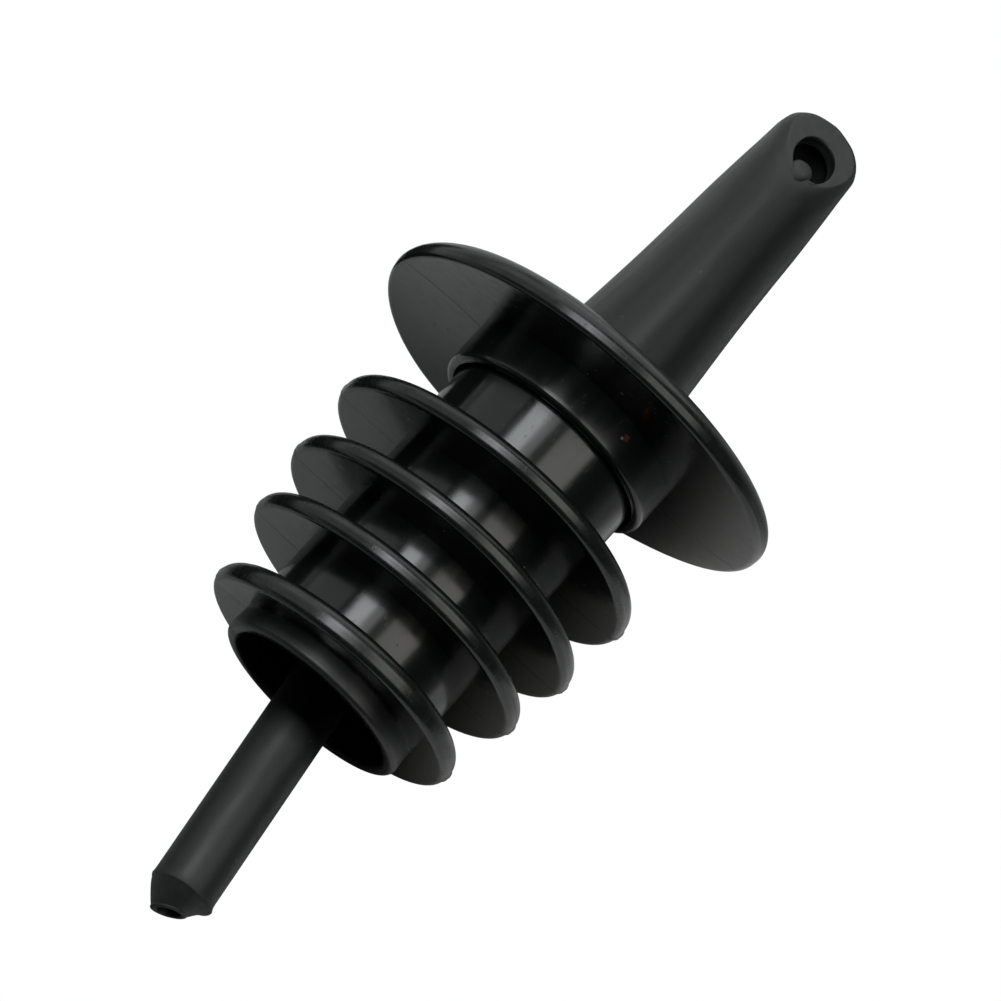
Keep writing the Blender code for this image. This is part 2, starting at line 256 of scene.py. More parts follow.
def arc(cr, cz, radius, start, end, steps, worn=1.0, wide=1.0):
    """Profile points (r, z, wear) of an arc, stretched outwards by wide; most worn outside."""
    points = []
    for k in range(steps + 1):
        a = math.radians(start + (end - start) * k / steps)
        out = math.cos(a)
        points.append((cr + wide * radius * out, cz + radius * math.sin(a), worn * max(out, 0.0)))
    return points


def line(a, b, steps):
    """Profile points from a to b, closer together near both ends, the ends left out."""
    points = []
    for k in range(1, steps):
        t = 0.5 - 0.5 * math.cos(math.pi * k / steps)
        points.append((a[0] + (b[0] - a[0]) * t, a[1] + (b[1] - a[1]) * t, a[2] + (b[2] - a[2]) * t))
    return points


def joined(*parts):
    """Profile parts with straight runs between them; a number between two is the run's steps."""
    points = list(parts[0])
    steps = 1
    for part in parts[1:]:
        if isinstance(part, int):
            steps = part
            continue
        points += line(points[-1], part[0], steps)
        points += part
        steps = 1
    return points


def turned(profile, skip=1):
    """Rings and wear of a profile turned about Z."""
    return np.array([circle(r, z, skip) for r, z, _ in profile]), [worn for _, _, worn in profile]


# ------------------------------------------------------------------ node helper
class Nodes:
    """Short calls that add nodes to a tree. A value is another node's output, or a constant."""

    def __init__(self, tree):
        self.tree = tree

    def feed(self, socket, value):
        """Link an output to the socket, or set the socket itself."""
        if isinstance(value, bpy.types.NodeSocket):
            self.tree.links.new(value, socket)
        else:
            socket.default_value = value

    def add(self, kind, inputs=None, **settings):
        """A new node, with its inputs by name or number."""
        node = self.tree.nodes.new(kind)
        for key, value in settings.items():
            setattr(node, key, value)
        for key, value in (inputs or {}).items():
            self.feed(node.inputs[key], value)
        return node

    def calc(self, operation, a, b=None, clamp=False):
        """A math node on one or two values."""
        inputs = {0: a} if b is None else {0: a, 1: b}
        return self.add("ShaderNodeMath", inputs, operation=operation, use_clamp=clamp).outputs[0]

    def times(self, a, b):
        """The product of two values."""
        return self.calc("MULTIPLY", a, b)

    def total(self, first, *others, clamp=False):
        """The sum of all values, and the last step can be clamped to 0 to 1."""
        for k, other in enumerate(others, 1):
            first = self.calc("ADD", first, other, clamp=clamp and k == len(others))
        return first

    def ramp(self, value, low, high, to_low=0.0, to_high=1.0, smooth=True):
        """The value's range from low to high, mapped to another."""
        inputs = {"Value": value, "From Min": low, "From Max": high, "To Min": to_low, "To Max": to_high}
        kind = "SMOOTHSTEP" if smooth else "LINEAR"
        return self.add("ShaderNodeMapRange", inputs, interpolation_type=kind).outputs[0]

    def noise(self, place, scale, detail, roughness=0.5, stretch=None):
        """Noise with scale waves per mm, drawn out along an axis whose stretch is under 1."""
        if stretch:
            place = self.add("ShaderNodeMapping", {"Vector": place, "Scale": stretch}).outputs[0]
        inputs = {"Vector": place, "Scale": scale, "Detail": detail, "Roughness": roughness}
        return self.add("ShaderNodeTexNoise", inputs).outputs["Fac"]

    def mix(self, factor, a, b):
        """A mix of two colours, each an output or three numbers."""
        a, b = ((*value, 1.0) if isinstance(value, tuple) else value for value in (a, b))
        return self.add("ShaderNodeMix", {0: factor, 6: a, 7: b}, data_type="RGBA").outputs[2]


# ------------------------------------------------------------------ materials
DUST_TINT = (0.16, 0.15, 0.135)
# painted shade: the near-black colour given to the hollow inside the nozzle and its mouth
HOLLOW_SHADE = (0.0012, 0.0013, 0.0013)
DUST_PER_MM, DUST_R, DUST_KEPT = 0.9, 0.10, 0.90  # only cells above the last value hold a speck
WORN_LIGHTER, SCUFF_LIGHTER = 2.6, 2.2  # times the light colour
WORN_MIX, SCUFF_MIX, DUST_MIX = 0.35, 0.18, 0.5
SCUFF_ROUGH, HOLLOW_ROUGH, DUST_ROUGH = 0.10, 0.5, 0.25
GRAIN_HEIGHT, PEEL_HEIGHT = 0.0009, 0.0018  # these heights and widths are in mm
SCUFF_HEIGHT, DUST_HEIGHT, SEAM_HEIGHT = -0.003, 0.02, 0.05
SEAM_FOOT, SEAM_CREST = 0.10, 0.02  # half widths of the mould line


def plastic_marks(nodes, place):
    """Edge wear as stored, and masks for the hollow's painted shade, worn edges, scuffs and dust."""
    wear = nodes.add("ShaderNodeAttribute", attribute_name="wear").outputs["Fac"]
    # painted shade: wear below zero darkens the hollow inside the nozzle
    hollow = nodes.ramp(wear, -0.2, -0.9)
    worn = nodes.times(wear, nodes.ramp(nodes.noise(place, 1.1, 5, 0.7), 0.42, 0.66))
    scuff = nodes.ramp(nodes.noise(place, 2.2, 6, 0.72, (1.0, 1.0, 0.35)), 0.60, 0.72)
    cells = nodes.add("ShaderNodeTexVoronoi", {"Vector": place, "Scale": DUST_PER_MM, "Randomness": 1.0})
    pick = nodes.add("ShaderNodeSeparateColor", {0: cells.outputs["Color"]}).outputs[0]
    few = nodes.ramp(pick, DUST_KEPT, DUST_KEPT + 0.01)
    speck = nodes.times(nodes.ramp(cells.outputs["Distance"], DUST_R, DUST_R / 2), few)
    return wear, hollow, worn, scuff, speck


def lighter(colour, factor):
    """The colour times a factor, no channel above 1."""
    return tuple(min(1.0, factor * c) for c in colour)


def with_spot(nodes, place, colour, spot):
    """The colour with one ragged spot on it, from the spot's centre, size and tint."""
    centre, size, tint = spot
    reach = nodes.add("ShaderNodeVectorMath", {0: place, 1: centre}, operation="DISTANCE")
    ragged = nodes.total(reach.outputs["Value"], nodes.times(nodes.noise(place, 3.0, 4), 1.5 * size))
    return nodes.mix(nodes.ramp(ragged, 1.8 * size, 1.5 * size), colour, tint)


def seam_ridge(nodes, x, y, turn):
    """The mould line: 1 along the plane through Z that is turned clockwise from X, 0 beside it."""
    across = nodes.times(y, math.cos(turn))
    along = nodes.times(x, math.sin(turn))
    return nodes.ramp(nodes.calc("ABSOLUTE", nodes.total(across, along)), SEAM_FOOT, SEAM_CREST)


def plastic(name, dark, light, rough, rough_spread, grain, peel,
            seam=0.0, ior=1.5, edge=0.09, zones=(), spots=()):
    """Moulded black plastic: mottled colour, satin grain, flow marks, scuffs, dust, mould line, and
    painted shade in the hollow.

    The roughness goes from rough - rough_spread to rough + rough_spread. grain and peel are the
    waves per mm of the fine and the coarse unevenness. seam is the mould line's clockwise turn
    from X, or None. edge is the roughness that worn edges gain, a zone (low, high, at low, at high)
    adds roughness by height, and a spot is (centre, size, tint).
    """
    material = bpy.data.materials.new(name)
    material.use_nodes = True
    shader = material.node_tree.nodes["Principled BSDF"]
    shader.inputs["IOR"].default_value = ior
    nodes = Nodes(material.node_tree)
    coords = nodes.add("ShaderNodeTexCoord").outputs["Object"]
    place = nodes.add("ShaderNodeVectorMath", {0: coords, "Scale": 1 / MM}, operation="SCALE").outputs[0]
    x, y, z = nodes.add("ShaderNodeSeparateXYZ", {0: place}).outputs
    wear, hollow, worn, scuff, speck = plastic_marks(nodes, place)

    colour = nodes.mix(nodes.noise(place, 0.16, 3, 0.55), dark, light)
    colour = nodes.mix(nodes.times(worn, WORN_MIX), colour, lighter(light, WORN_LIGHTER))
    colour = nodes.mix(nodes.times(scuff, SCUFF_MIX), colour, lighter(light, SCUFF_LIGHTER))
    colour = nodes.mix(nodes.times(speck, DUST_MIX), colour, DUST_TINT)
    for spot in spots:
        colour = with_spot(nodes, place, colour, spot)
    # painted shade: the hollow inside the nozzle is made near black
    nodes.feed(shader.inputs["Base Color"], nodes.mix(hollow, colour, HOLLOW_SHADE))

    flow = nodes.noise(place, 0.9, 3, 0.5, (1.0, 1.0, 0.18))
    roughness = nodes.total(
        nodes.ramp(flow, 0.3, 0.7, rough - rough_spread, rough + rough_spread),
        *[nodes.ramp(z, *zone) for zone in zones],
        nodes.times(nodes.ramp(wear, 0.0, 0.5), edge),
        nodes.times(scuff, SCUFF_ROUGH),
        nodes.times(hollow, HOLLOW_ROUGH),
        nodes.times(speck, DUST_ROUGH), clamp=True)
    nodes.feed(shader.inputs["Roughness"], roughness)

    height = nodes.total(
        nodes.times(nodes.noise(place, grain, 4, 0.6), GRAIN_HEIGHT),
        nodes.times(nodes.noise(place, peel, 2, 0.5), PEEL_HEIGHT),
        nodes.times(scuff, SCUFF_HEIGHT),
        nodes.times(speck, DUST_HEIGHT))
    if seam is not None:
        height = nodes.total(height, nodes.times(seam_ridge(nodes, x, y, seam), SEAM_HEIGHT))
    bump = nodes.add("ShaderNodeBump", {"Strength": 1.0, "Distance": MM, "Height": height})
    nodes.feed(shader.inputs["Normal"], bump.outputs[0])
    return material


spout_plastic = plastic(
    "satin_black_plastic", (0.0052, 0.0064, 0.0064), (0.0095, 0.0115, 0.0114),
    0.41, 0.04, 9.0, 0.8,
    seam=math.radians(-9.0), edge=0.03, zones=[(1.1, 2.3, -0.21, 0.0)],
    spots=[((1.9, -13.0, -0.6), 0.20, (0.30, 0.30, 0.29)),
           ((4.6, -9.22, -1.75), 0.36, (0.085, 0.034, 0.022)),
           ((4.3, -9.36, -2.0), 0.15, (0.26, 0.20, 0.17)),
           ((-7.5, -14.5, -0.6), 0.10, (0.2, 0.2, 0.2))])
stopper_plastic = plastic(
    "semi_gloss_black_plastic", (0.0035, 0.0042, 0.0042), (0.0062, 0.0074, 0.0074),
    0.17, 0.03, 7.0, 0.45, ior=1.58, zones=[(-31.4, -30.9, 0.18, 0.0)])
tube_plastic = plastic(
    "satin_black_tube", (0.0060, 0.0072, 0.0072), (0.0105, 0.0125, 0.0122),
    0.48, 0.04, 8.0, 0.7, seam=None, ior=1.54)


# ------------------------------------------------------------------ spout body
INWARD = np.array([0.0, math.cos(CUT_ANGLE), -math.sin(CUT_ANGLE)])  # from the cut into the nozzle


def nozzle_section(height):
    """Reach to the front and the back and half width at a height, narrowed to the round tip."""
    front, back, half = spline(NOZZLE, height)
    rise = np.clip((height - (CUT_Z - TIP_R)) / TIP_R, 0, 0.9999)
    return front, back, half * np.sqrt(1 - rise**2)


def nozzle_ring(height):
    """The nozzle's outer ring at one height, or at an array with a height for each column."""
    return oval(*nozzle_section(height), height)


def cavity_ring(height):
    """The hollow inside the nozzle: the outer section less the wall."""
    front, back, half = nozzle_section(height)
    back, half = np.maximum(back - WALL - 0.2, 0.05), np.maximum(half - WALL, 0.2)
    return oval(front - WALL, back, half, height, power=2.0)


def plane_side(points):
    """How far points lie behind the oblique cut, on the nozzle's side of it."""
    y, z = points[..., 1] - CUT_Y, points[..., 2] - CUT_Z
    return y * math.cos(CUT_ANGLE) - z * math.sin(CUT_ANGLE)


def plane_height(y):
    """The height of the oblique cut."""
    return CUT_Z + (y - CUT_Y) / math.tan(CUT_ANGLE)


def cut_heights(ring_at, depth, highest):
    """The height at which each column of a section meets the plane that lies depth below the cut."""
    low, high = np.full(COLUMNS, 10.0), np.full(COLUMNS, highest)
    for _ in range(50):
        middle = (low + high) / 2
        keep = plane_side(ring_at(middle)) > depth
        low, high = np.where(keep, middle, low), np.where(keep, high, middle)
    return (low + high) / 2


def round_border(side, front, back):
    """A width round the cut: side, plus front at the front and back at the back."""
    return side + front * np.clip(-SIN, 0, 1) ** 2 + back * np.clip(SIN, 0, 1) ** 2


def hump(count):
    """Wear that is highest in the middle of a rounded corner."""
    return np.sin(np.linspace(0, math.pi, count))


def put_hollow(stack, mouth):
    """The hollow from the socket's ceiling up, along its own oblique ceiling, to the mouth."""
    inside = cut_heights(cavity_ring, FACE_WALL, CUT_Z - 1.5)
    ceiling = cavity_ring(inside)
    ceiling_in = towards(mouth, ceiling, CEILING_ROUND_IN) + INWARD * FACE_WALL
    mouth_deep = mouth + INWARD * (FACE_WALL - CEILING_ROUND)
    heights = SOCKET_TOP + (inside - HOLLOW_ROUND - SOCKET_TOP) * np.linspace(0, 1, 36)[:, None]
    # wear below zero marks these rings of the hollow for painted shade
    stack.put([cavity_ring(h) for h in heights], wear=-1.0)
    corner_end = towards(ceiling, ceiling_in, HOLLOW_ROUND)
    stack.put(conic(stack.rings[-1], ceiling, corner_end, rows=4)[1:], wear=-1.0)
    stack.put(between(stack.rings[-1], ceiling_in, rows=5), wear=-1.0)
    stack.put(conic(ceiling_in, mouth + INWARD * FACE_WALL, mouth_deep, rows=4), wear=-1.0)
    stack.put(between(mouth_deep, mouth + INWARD * MOUTH_ROUND_DEEP, rows=3), wear=(-0.9, -0.6, -0.3))


def put_face_and_wall(stack, mouth):
    """The mouth's edge, the oblique face, its rounded border and the nozzle's wall downwards."""
    cut = cut_heights(nozzle_ring, 0.0, CUT_Z - 1e-4)
    outline = nozzle_ring(cut)
    face_in = towards(mouth, outline, MOUTH_ROUND)
    face_out = towards(outline, mouth, round_border(*BORDER_ACROSS))
    wall_top = cut - round_border(*BORDER_DOWN)
    foot = COLLAR_TOP + NOZZLE_FOOT
    stack.put(conic(mouth + INWARD * MOUTH_ROUND_DEEP, mouth, face_in, rows=6), wear=hump(6))
    stack.put(between(face_in, face_out, rows=7))
    border = conic(face_out, outline, nozzle_ring(wall_top), rows=15, weight=0.72)
    stack.put(border, wear=hump(15) * 0.6)
    heights = wall_top + (foot - wall_top) * np.linspace(0, 1, 46)[1:, None]
    stack.put([nozzle_ring(h) for h in heights])


def collar_profile(dome_r):
    """The collar's edge and underside, the skirt, the socket and its groove."""
    lip_z = SKIRT_LOW + LIP_ROUND
    return joined(
        arc(dome_r, COLLAR_TOP - COLLAR_DOME, COLLAR_DOME, 90, 0, 20, wide=COLLAR_DOME_WIDE), 3,
        arc(COLLAR_R - EDGE_LEAN - COLLAR_LOW_ROUND, COLLAR_LOW + COLLAR_LOW_ROUND,
            COLLAR_LOW_ROUND, 0, -90, 8), 16,
        [(SKIRT_R, COLLAR_LOW, CREASE)], 5,
        arc(SKIRT_R - LIP_ROUND, lip_z, LIP_ROUND, 0, -90, 8, worn=0.15), 1,
        arc(SOCKET_R + SOCKET_ROUND, SKIRT_LOW + SOCKET_ROUND, SOCKET_ROUND, -90, -180, 3), 4,
        [(SOCKET_R, GROOVE_LOW, 0.0)], 1,
        [(GROOVE_R, GROOVE_LOW, 0.0)], 2,
        [(GROOVE_R, SOCKET_TOP, 0.0)])


def put_collar(stack):
    """The fillet onto the collar, the collar, the skirt, and the socket up to the hollow's start."""
    flat_start = oval(*(reach + NOZZLE_FOOT for reach in spline(NOZZLE, COLLAR_TOP)), COLLAR_TOP)
    stack.put(conic(stack.rings[-1], nozzle_ring(COLLAR_TOP), flat_start, rows=9)[1:])
    dome_r = COLLAR_R - COLLAR_DOME * COLLAR_DOME_WIDE
    stack.put(between(flat_start, circle(dome_r, COLLAR_TOP), rows=12))
    for radius, height, worn in collar_profile(dome_r):
        stack.put(circle(radius, height), worn)
    stack.put(between(circle(GROOVE_R, SOCKET_TOP), stack.rings[0], rows=4))


def warp_spout(rings):
    """Turn and shift the nozzle a little on its collar, and bend the collar's edge up and down."""
    x, y, z = (rings[..., k].copy() for k in range(3))
    radius, turn = polar(rings)
    flange = (z > COLLAR_LOW - 0.1) & (z < COLLAR_TOP + 0.1) & (radius > SKIRT_R)
    share = np.clip((radius - SKIRT_R) / (COLLAR_R - SKIRT_R), 0, 1) ** 2
    above = z - COLLAR_TOP + NOZZLE_BLEND_BELOW
    high = np.clip(above / NOZZLE_BLEND, 0, 1) * (radius < SKIRT_R + NOZZLE_BLEND)
    swing = NOZZLE_TURN * high
    rings[..., 0] = x * np.cos(swing) - y * np.sin(swing) + NOZZLE_SHIFT * high
    rings[..., 1] = x * np.sin(swing) + y * np.cos(swing)
    rear, front = np.clip(np.sin(turn), 0, 1), np.clip(-np.sin(turn), 0, 1)
    tilt = 1 + COLLAR_TILT_BACK * np.sin(turn) + COLLAR_TILT_REAR * rear**2
    bend = COLLAR_WAVE * noise1(turn, seed=11, terms=3) + COLLAR_TILT * np.cos(turn) * tilt
    bend -= COLLAR_FRONT_DROP * front**2
    rings[..., 2] += np.where(flange, share * bend, 0.0)
    grow = 1 + np.where(flange, share * COLLAR_GROW * np.clip(np.cos(turn), 0, 1), 0.0)
    rings[..., :2] *= grow[..., None]


def build_spout():
    """Nozzle, collar and skirt as one shell that is closed through the hollow inside."""
    mouth = circle(MOUTH_R, 0.0) + [0.0, MOUTH_Y, 0.0]
    mouth[:, 2] = plane_height(mouth[:, 1])
    stack = RingStack()
    put_hollow(stack, mouth)
    put_face_and_wall(stack, mouth)
    put_collar(stack)
    rings = np.array(stack.rings)
    warp_spout(rings)
    return grid_mesh("spout_body_shell", rings, stack.wear, wrap=True, material=spout_plastic)


def build_duct():
    """The air duct's end in the front of the mouth: a post with a domed, obliquely cut top."""
    shoulder = plane_height(DUCT_Y) - DUCT_SHOULDER
    slope = DUCT_SLOPE / math.tan(CUT_ANGLE)
    rows = [(DUCT_R, z, 0.0) for z in np.linspace(DUCT_FOOT, shoulder, 14)]
    for k in range(1, 11):
        a = math.pi / 2 * k / 10.5
        rows.append((DUCT_R * math.cos(a) ** DUCT_DOME_POWER, shoulder, math.sin(a)))
    rings = []
    for radius, z, rise in rows:
        ring = circle(radius, z, skip=4)
        share = np.clip(1 - (shoulder - z) / DUCT_SLOPE_OVER, 0, 1)
        ring[:, 2] += DUCT_DOME * rise + slope * ring[:, 1] * share
        rings.append(ring + [DUCT_X + NOZZLE_SHIFT, DUCT_Y, 0.0])
    wear = [0.6 * rise for _, _, rise in rows]
    return grid_mesh("air_duct", rings, wear, caps=True, material=spout_plastic)


# ------------------------------------------------------------------ stopper
def stopper_profile():
    """The plug's bead, the finned core, the rim and the bore."""
    plug_z = PLUG_TOP - PLUG_ROUND
    profile = [
        arc(NECK_R + BEAD_PROUD - PLUG_ROUND, plug_z, PLUG_ROUND, 90, 0, 3), 1,
        [(NECK_R + BEAD_PROUD, BEAD_LOW, 0.0)], 1, [(NECK_R, BEAD_LOW, 0.0)], 10]
    above = NECK_R
    for radius, top in zip(FIN_R, FIN_TOP):
        low = top - FIN_T
        profile += [
            arc(above + ROOT_FILLET, top + ROOT_FILLET, ROOT_FILLET, 180, 270, 5), 9,
            arc(radius - FIN_TOP_ROUND, top - FIN_TOP_ROUND, FIN_TOP_ROUND, 90, 0, 10), 3,
            arc(radius - EDGE_LEAN - FIN_LOW_ROUND, low + FIN_LOW_ROUND, FIN_LOW_ROUND, 0, -90, 7), 9,
            [(CORE_R, low, CREASE)], 6]
        above = CORE_R
    profile += [
        [(CORE_R + out, RIM_LOW + up, 0.0) for out, up in RIM_FLARE], 1,
        arc(RIM_R - RIM_ROUND, RIM_LOW + RIM_ROUND, RIM_ROUND, 6, -90, 9), 1,
        arc(BORE_R + BORE_ROUND, RIM_LOW + BORE_ROUND, BORE_ROUND, -90, -180, 6), 24,
        arc(BORE_R + PLUG_ROUND, plug_z, PLUG_ROUND, 180, 90, 3)]
    return joined(*profile)


def build_stopper():
    """The finned stopper, each fin a little uneven, as soft mouldings are."""
    rings, wear = turned(stopper_profile())
    radius, turn = polar(rings)
    nib_size = np.where(np.cos(turn) > 0, NIB_RIGHT, NIB_LEFT)
    nib = np.exp(-((np.sin(turn) / NIB_HALF) ** 2)) * nib_size
    for k, (size, top) in enumerate(zip(FIN_R, FIN_TOP)):
        z = rings[..., 2]
        on = (z < top + 0.02) & (z > top - FIN_T - 0.02) & (radius > CORE_R + 0.1)
        outward = np.clip((radius - CORE_R) / (size - CORE_R), 0, 1)
        share = np.where(on, outward**FIN_BEND_POWER, 0.0)
        lift = FIN_LIFT[k] * np.clip(np.cos(turn - FIN_LIFT_AT), 0, 1) ** 2
        depth = np.clip((top - z) / FIN_T, 0, 1)
        droop = FIN_DROOP[k] * depth * np.clip(-np.sin(turn), 0, 1) ** FIN_DROOP_POWER
        rings[..., 2] += share * (FIN_WAVE * noise1(turn, seed=20 + k, terms=4) + lift - droop)
        swell = 1 + share * (FIN_RIPPLE * noise1(turn, seed=40 + k, terms=6) + nib)
        rings[..., :2] *= swell[..., None]
    return grid_mesh("finned_stopper_shell", rings, wear, wrap=True, material=stopper_plastic)


def tube_axes():
    """Origin (top end) and the three axes of the tube; the third points up to the top end."""
    down = TUBE_LEAN / np.linalg.norm(TUBE_LEAN)
    top = TUBE_TIP - down * TUBE_LEN
    across = np.cross(down, [0.0, 1.0, 0.0])
    across /= np.linalg.norm(across)
    return top, across, np.cross(-down, across), -down


def along_tube(rings):
    """Rings about Z, moved to lie about the leaning tube's axis."""
    top, a, b, c = tube_axes()
    return top + rings[..., :1] * a + rings[..., 1:2] * b + rings[..., 2:] * c


def build_holder_ring():
    """The ring inside the bore that grips the tube."""
    inner, outer = TUBE_R + HOLDER_GAP, TUBE_R + HOLDER_GAP + HOLDER_WALL
    big, small = HOLDER_ROUND, HOLDER_ROUND_IN
    rings, wear = turned(joined(
        arc(inner + small, -small, small, 180, 90, 3), 1,
        arc(outer - big, -big, big, 90, 0, 4), 8,
        arc(outer - big, -HOLDER_LEN + big, big, 0, -90, 4), 1,
        arc(inner + small, -HOLDER_LEN + small, small, -90, -180, 3), 8), skip=2)
    return grid_mesh("tube_holder_ring", along_tube(rings), wear, wrap=True, material=stopper_plastic)


def build_holder_rib(columns=24, rows=9):
    """The rib that joins the holder ring to the bore, wider at its upper and lower ends."""
    top = tube_axes()[0]
    turn = math.atan2(top[1], top[0])
    out, aside = np.array([math.cos(turn), math.sin(turn)]), np.array([-math.sin(turn), math.cos(turn)])
    rings = []
    for t in np.linspace(0, 1, rows):
        z = top[2] - RIB_INSET - (HOLDER_LEN - 2 * RIB_INSET) * t
        half = RIB_HALF + RIB_FLARE * (2 * t - 1) ** 4
        centre = top[:2] + (TUBE_TIP - top)[:2] * (top[2] - z) / (top[2] - TUBE_TIP[2])
        start = centre @ out + RIB_FROM
        ring = []
        for k in range(columns):
            a = math.tau * k / columns
            reach = start + (RIB_TO - start) * (0.5 + 0.5 * math.cos(a))
            side = half * math.copysign(abs(math.sin(a)) ** 0.5, math.sin(a))
            ring.append((*(reach * out + side * aside), z))
        rings.append(ring)
    return grid_mesh("tube_holder_rib", rings, np.zeros(rows), caps=True, material=stopper_plastic)


# ------------------------------------------------------------------ tube
def tube_profile(shoulder, end):
    """Bore's edge, tube's edge, the shoulder with its flash, the cone and the hole in its end."""
    hole_z = end + CONE_HOLE_ROUND
    return joined(
        arc(TUBE_BORE + TUBE_BORE_ROUND, -TUBE_BORE_ROUND, TUBE_BORE_ROUND, 180, 90, 3), 1,
        arc(TUBE_R - TUBE_ROUND, -TUBE_ROUND, TUBE_ROUND, 90, 0, 4), 60,
        [(TUBE_R + out, shoulder + up, worn) for out, up, worn in SHOULDER], 10,
        arc(CONE_END_R - CONE_END_ROUND, end + CONE_END_ROUND, CONE_END_ROUND, 20, -90, 4), 1,
        arc(CONE_HOLE_R + CONE_HOLE_ROUND, hole_z, CONE_HOLE_ROUND, -90, -180, 3), 3,
        [(CONE_HOLE_R + 0.01, end + 0.9, 0.0)], 3,
        [(TUBE_BORE, shoulder + 0.3, 0.0)])


def build_tube():
    """The breather tube with a coned end, cut a little askew, and flash on the cone's shoulder."""
    shoulder, end = -TUBE_LEN + TUBE_CONE, -TUBE_LEN
    rings, wear = turned(tube_profile(shoulder, end), skip=2)
    radius, turn = polar(rings)
    depth = rings[..., 2]
    low = np.clip((shoulder - depth) / TUBE_CONE, 0, 1) * (radius > 1.0)
    rings[..., 2] += CONE_SLOPE * rings[..., 0] * low
    near = np.exp(-((depth - shoulder) / FLASH_HALF) ** 2) * (radius > 2.2)
    lump = np.exp(-((np.cos((turn - 0.2) / 2) - 1) / 0.06) ** 2)
    flash = near * (FLASH * noise1(turn, seed=71, terms=7) + FLASH_LUMP * lump)
    rings[..., :2] *= (1 + flash / radius)[..., None]
    rings[..., 2] += near * FLASH_WAVE * noise1(turn, seed=72)
    return grid_mesh("breather_tube_shell", along_tube(rings), wear, wrap=True, material=tube_plastic)


spout = build_spout()
duct = build_duct()
stopper = build_stopper()
holder_ring = build_holder_ring()
holder_rib = build_holder_rib()
tube = build_tube()

for piece in (spout, duct):
    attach(piece, "spout")
for piece in (stopper, holder_ring, holder_rib):
    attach(piece, "stopper")
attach(tube, "tube")
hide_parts("spout_body")
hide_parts("finned_stopper")
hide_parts("breather_tube")


# ------------------------------------------------------------------ stage, light, camera
def plain_piece(name, look, points, faces, tone, roughness):
    """A piece of the stage in one grey tone; points are in metres. Gives it and its material."""
    mesh = bpy.data.meshes.new(name)
    mesh.from_pydata(points, [], faces)
    material = bpy.data.materials.new(look)
    material.use_nodes = True
    shader = material.node_tree.nodes["Principled BSDF"]
    shader.inputs["Base Color"].default_value = (tone, tone, tone, 1.0)
    shader.inputs["Roughness"].default_value = roughness
    mesh.materials.append(material)
    return add_object(name, mesh), material


def build_floor():
    """A pale floor well below the object, lit evenly so that views from the side stay pale."""
    size, z = 3.0, -0.24
    corners = [(-size, -size, z), (size, -size, z), (size, size, z), (-size, size, z)]
    floor, material = plain_piece("floor", "pale_floor", corners, [(0, 1, 2, 3)], 0.5, 0.9)
    shader = material.node_tree.nodes["Principled BSDF"]
    shader.inputs["Emission Color"].default_value = (1.0, 1.0, 1.0, 1.0)
    shader.inputs["Emission Strength"].default_value = 0.62
    floor.visible_glossy = False
    floor.visible_diffuse = False


def build_sheet(name, corners, tone):
    """A sheet that only shows in reflections, and the material it has."""
    points = [tuple(MM * c for c in corner) for corner in corners]
    item, material = plain_piece(name, name, points, [(0, 1, 2, 3)], tone, 0.9)
    item.visible_camera = False
    item.visible_diffuse = False
    item.visible_shadow = False
    item.visible_transmission = False
    return material


def shade_table(material):
    """The object's soft shadow on the table, to its right, and the darker far corner, in metres."""
    nodes = Nodes(material.node_tree)
    coords = nodes.add("ShaderNodeTexCoord").outputs["Object"]
    x, _, z = nodes.add("ShaderNodeSeparateXYZ", {0: coords}).outputs
    skew = nodes.total(x, nodes.times(z, -0.14))
    near = nodes.calc("MAXIMUM", nodes.ramp(skew, 0.011, 0.025, 0.06, 1.0),
                      nodes.ramp(x, -0.007, -0.003, 1.0, 0.0))
    far = nodes.ramp(x, 0.022, 0.032, 1.0, 0.35)
    upper = nodes.ramp(z, 0.0, 0.015)
    corner = nodes.add("ShaderNodeMix", {0: upper, 2: 1.0, 3: far}).outputs[0]
    tone = nodes.total(nodes.ramp(x, -0.02, 0.02, 0.45, 0.80),
                       nodes.ramp(z, -0.0145, -0.0115, 0.0, 0.20))
    level = nodes.times(nodes.times(near, corner), tone)
    grey = nodes.add("ShaderNodeCombineColor", {0: level, 1: level, 2: level}).outputs[0]
    nodes.feed(material.node_tree.nodes["Principled BSDF"].inputs["Base Color"], grey)


def build_table():
    """The white table just behind the object and a dark neighbour on it, as seen in reflections."""
    rise, side = TABLE_HALF * math.tan(TABLE_LEAN), TABLE_SIDE
    lower, upper = (TABLE_Y - rise, -TABLE_HALF), (TABLE_Y + rise, TABLE_HALF)
    corners = [(-side, *lower), (side, *lower), (side, *upper), (-side, *upper)]
    shade_table(build_sheet("table", corners, 0.8))
    corners = [(FLAG_X, FLAG_FRONT, FLAG_LOW), (FLAG_X, FLAG_BACK, FLAG_LOW),
               (FLAG_X, FLAG_BACK, FLAG_TOP), (FLAG_X, FLAG_FRONT, FLAG_TOP)]
    build_sheet("flag", corners, 0.01)


def build_hood():
    """A black sleeve that goes on where the bore ends and keeps the low window light off the tube."""
    count = HOOD_COLUMNS
    turns = [math.tau * k / count for k in range(count)]
    points = [(MM * HOOD_R * math.cos(t), MM * HOOD_R * math.sin(t), MM * z)
              for z in (HOOD_TOP, HOOD_LOW) for t in turns]
    faces = [(k, (k + 1) % count, count + (k + 1) % count, count + k) for k in range(count)]
    hood, _ = plain_piece("hood", "hood", points, faces, 0.002, 1.0)
    hood.visible_camera = False


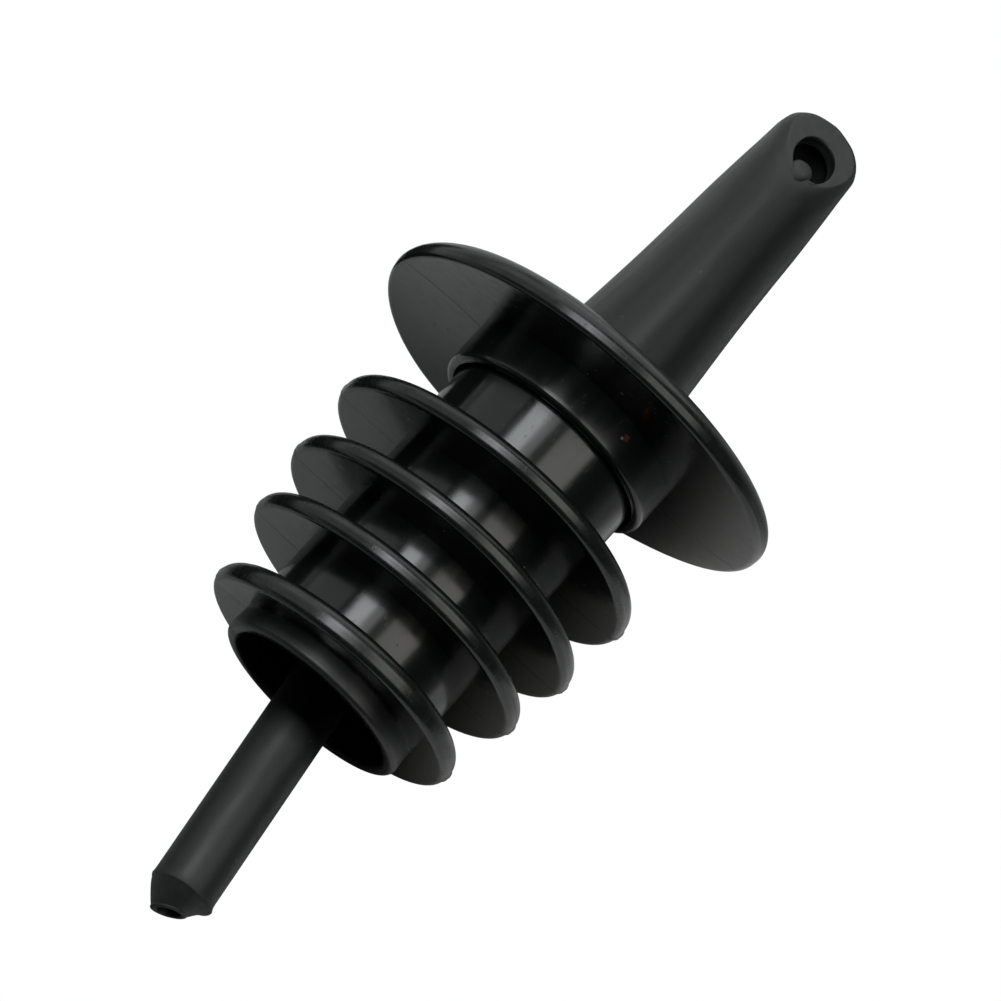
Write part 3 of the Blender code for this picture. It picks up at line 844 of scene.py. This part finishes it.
def build_world():
    """White where the camera looks; a soft grey room, brighter behind the object, for the light."""
    world = bpy.data.worlds.new("studio")
    bpy.context.scene.world = world
    world.use_nodes = True
    world.node_tree.nodes.clear()
    nodes = Nodes(world.node_tree)
    white = (1.0, 1.0, 1.0, 1.0)
    coords = nodes.add("ShaderNodeTexCoord").outputs["Generated"]
    x, y, _ = nodes.add("ShaderNodeSeparateXYZ", {0: coords}).outputs
    behind = nodes.ramp(y, -0.25, 0.35, 0.035, 0.30)
    side = nodes.ramp(x, -1.0, 1.0, 1.35, 0.75, smooth=False)
    light = nodes.add("ShaderNodeBackground", {"Color": white, "Strength": nodes.times(behind, side)})
    seen = nodes.add("ShaderNodeBackground", {"Color": white, "Strength": 1.0})
    camera_ray = nodes.add("ShaderNodeLightPath").outputs["Is Camera Ray"]
    both = nodes.add("ShaderNodeMixShader", {0: camera_ray, 1: light.outputs[0], 2: seen.outputs[0]})
    nodes.add("ShaderNodeOutputWorld", {0: both.outputs[0]})


def direction(azimuth, elevation):
    """Unit vector from the object; azimuth 0 is towards the camera (-Y), positive to its right."""
    a, e = math.radians(azimuth), math.radians(elevation)
    return Vector((math.sin(a) * math.cos(e), -math.cos(a) * math.cos(e), math.sin(e)))


def area_light(name, azimuth, elevation, distance, width, height, power, colour=(1.0, 1.0, 1.0)):
    """A rectangular light that faces the object: degrees, metres and watts."""
    data = bpy.data.lights.new(name, "AREA")
    data.shape = "RECTANGLE"
    data.size, data.size_y = width, height
    data.energy = power
    data.color = colour
    item = add_object(name, data)
    way = direction(azimuth, elevation)
    item.location = way * distance + Vector((0, 0, -0.01))
    item.rotation_euler = way.to_track_quat("Z", "Y").to_euler()


def build_lights():
    """The windows and pale walls that the glossy plastic mirrors."""
    area_light("window_left", -23.5, 10, 0.8, 0.25, 0.52, 2.15, (0.95, 1.0, 1.0))
    area_light("window_left_edge", -9, 10, 0.82, 0.15, 0.52, 0.44)
    area_light("front_fill", 2, 12, 0.84, 0.22, 0.5, 0.09)
    area_light("window_right", 28, 10, 0.8, 0.52, 0.52, 1.45, (1.0, 0.985, 0.95))
    area_light("wall_left", -66, 14, 0.9, 0.75, 0.6, 0.65)
    area_light("wall_left_high", -55, 42, 0.9, 0.95, 0.5, 0.95)
    area_light("top", -20, 75, 0.9, 0.8, 0.8, 1.9)


def build_camera():
    """The camera below the object's front, rolled so that the spout lies across the picture."""
    elevation, roll, distance = math.radians(18.9), math.radians(42.4), 0.42
    image_size, per_mm, sensor = 1001, 12.2, 36.0  # the picture's width, and its scale at the object
    eye = Vector((0, -math.cos(elevation), -math.sin(elevation))) * distance
    target = Vector((0.0005, 0.0, -0.0098))
    forward = (target - eye).normalized()
    right = forward.cross(Vector((0, 0, 1))).normalized()
    up = right.cross(forward)
    cam_up = up * math.cos(roll) - right * math.sin(roll)
    cam_right = right * math.cos(roll) + up * math.sin(roll)
    matrix = Matrix((cam_right, cam_up, -forward)).transposed().to_4x4()
    matrix.translation = eye
    data = bpy.data.cameras.new("camera")
    data.sensor_width = sensor
    data.lens = per_mm * distance / MM * sensor / image_size
    data.clip_start, data.clip_end = 0.01, 20.0
    camera = add_object("camera", data)
    camera.matrix_world = matrix
    bpy.context.scene.camera = camera


build_floor()
build_table()
build_hood()
build_world()
build_lights()
build_camera()
bpy.context.scene.view_settings.view_transform = "Standard"
